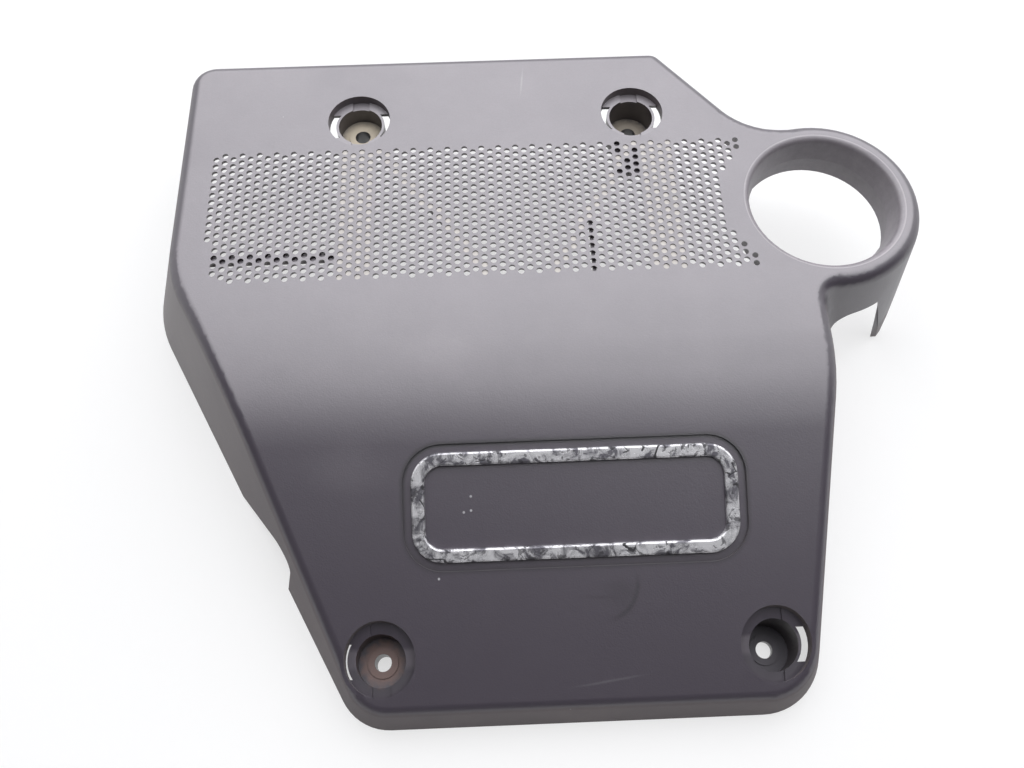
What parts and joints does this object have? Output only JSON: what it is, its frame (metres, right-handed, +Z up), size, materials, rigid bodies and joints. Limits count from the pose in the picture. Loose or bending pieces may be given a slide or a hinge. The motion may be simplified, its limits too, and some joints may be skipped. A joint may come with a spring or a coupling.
{
  "type": "engine cover",
  "caption": "Moulded plastic engine cover with a sloping front, tapered skirt, fixing pots, perforated field, filler collar and a plain bright badge frame.",
  "frame": {"origin": "on the surface the skirt rests on, under the middle of the cover", "axes": "+X along the rows of the perforated field towards the filler collar, +Y to the rear edge, +Z up"},
  "size_m": [0.4666, 0.3942, 0.084],
  "materials": {
    "moulding": "fine-grained dark grey plastic, dusty and lightly scuffed",
    "badge": "chrome plating on plastic, flaked in places"
  },
  "bodies": {
    "root": {"cover": "moulding", "badge_trim": "badge"}
  },
  "joints": []
}
